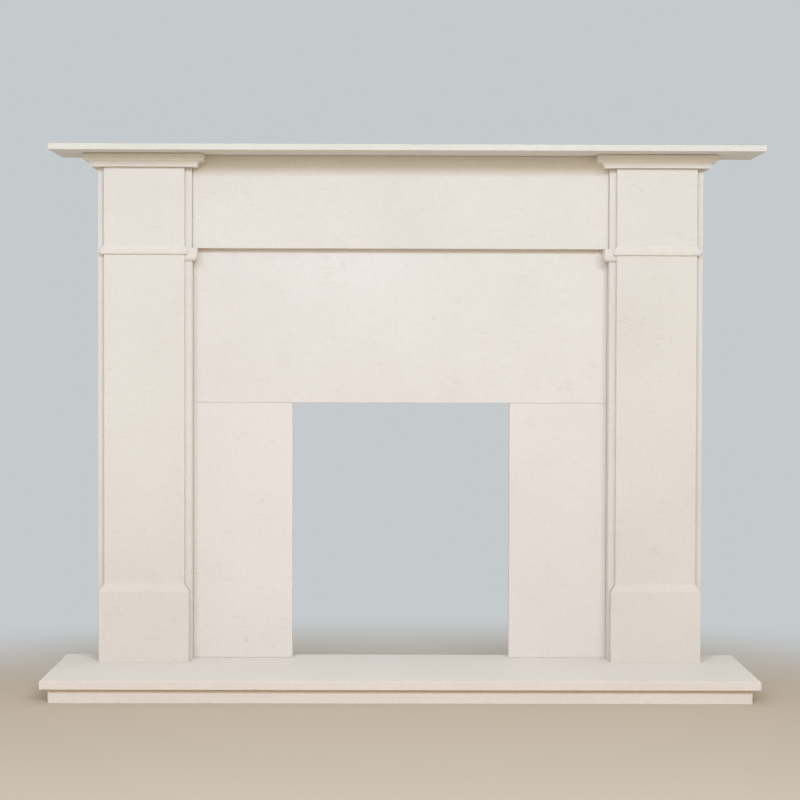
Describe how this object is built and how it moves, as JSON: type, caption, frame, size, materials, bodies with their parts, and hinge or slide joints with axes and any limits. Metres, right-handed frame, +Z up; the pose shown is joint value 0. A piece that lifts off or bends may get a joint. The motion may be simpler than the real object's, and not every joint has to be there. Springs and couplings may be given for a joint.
{
  "type": "limestone fireplace",
  "caption": "Plain limestone fire surround with a thin mantel shelf, moulded capitals, bead-banded legs on plinths, flat frieze, slab back panel with a fire opening, and a raised hearth.",
  "frame": {"origin": "on the floor, under the middle of the mantel shelf, halfway between the hearth's front edge and the wall", "axes": "+X to the right along the shelf as seen from the front, +Y back into the wall, +Z up"},
  "size_m": [1.524, 0.381, 1.1635],
  "materials": {
    "shelf_stone": "honed",
    "surround_stone": "fine rubbed matt",
    "panel_stone": "fine rubbed matt",
    "hearth_stone": "honed"
  },
  "bodies": {
    "root": {"mantel_shelf": "shelf_stone", "capital_left": "surround_stone", "capital_right": "surround_stone", "frieze": "surround_stone", "leg_left": "surround_stone", "leg_right": "surround_stone", "back_panel_top": "panel_stone", "back_panel_left": "panel_stone", "back_panel_right": "panel_stone", "hearth_slab": "hearth_stone", "hearth_riser_front": "hearth_stone", "hearth_riser_left": "hearth_stone", "hearth_riser_right": "hearth_stone"}
  },
  "joints": []
}
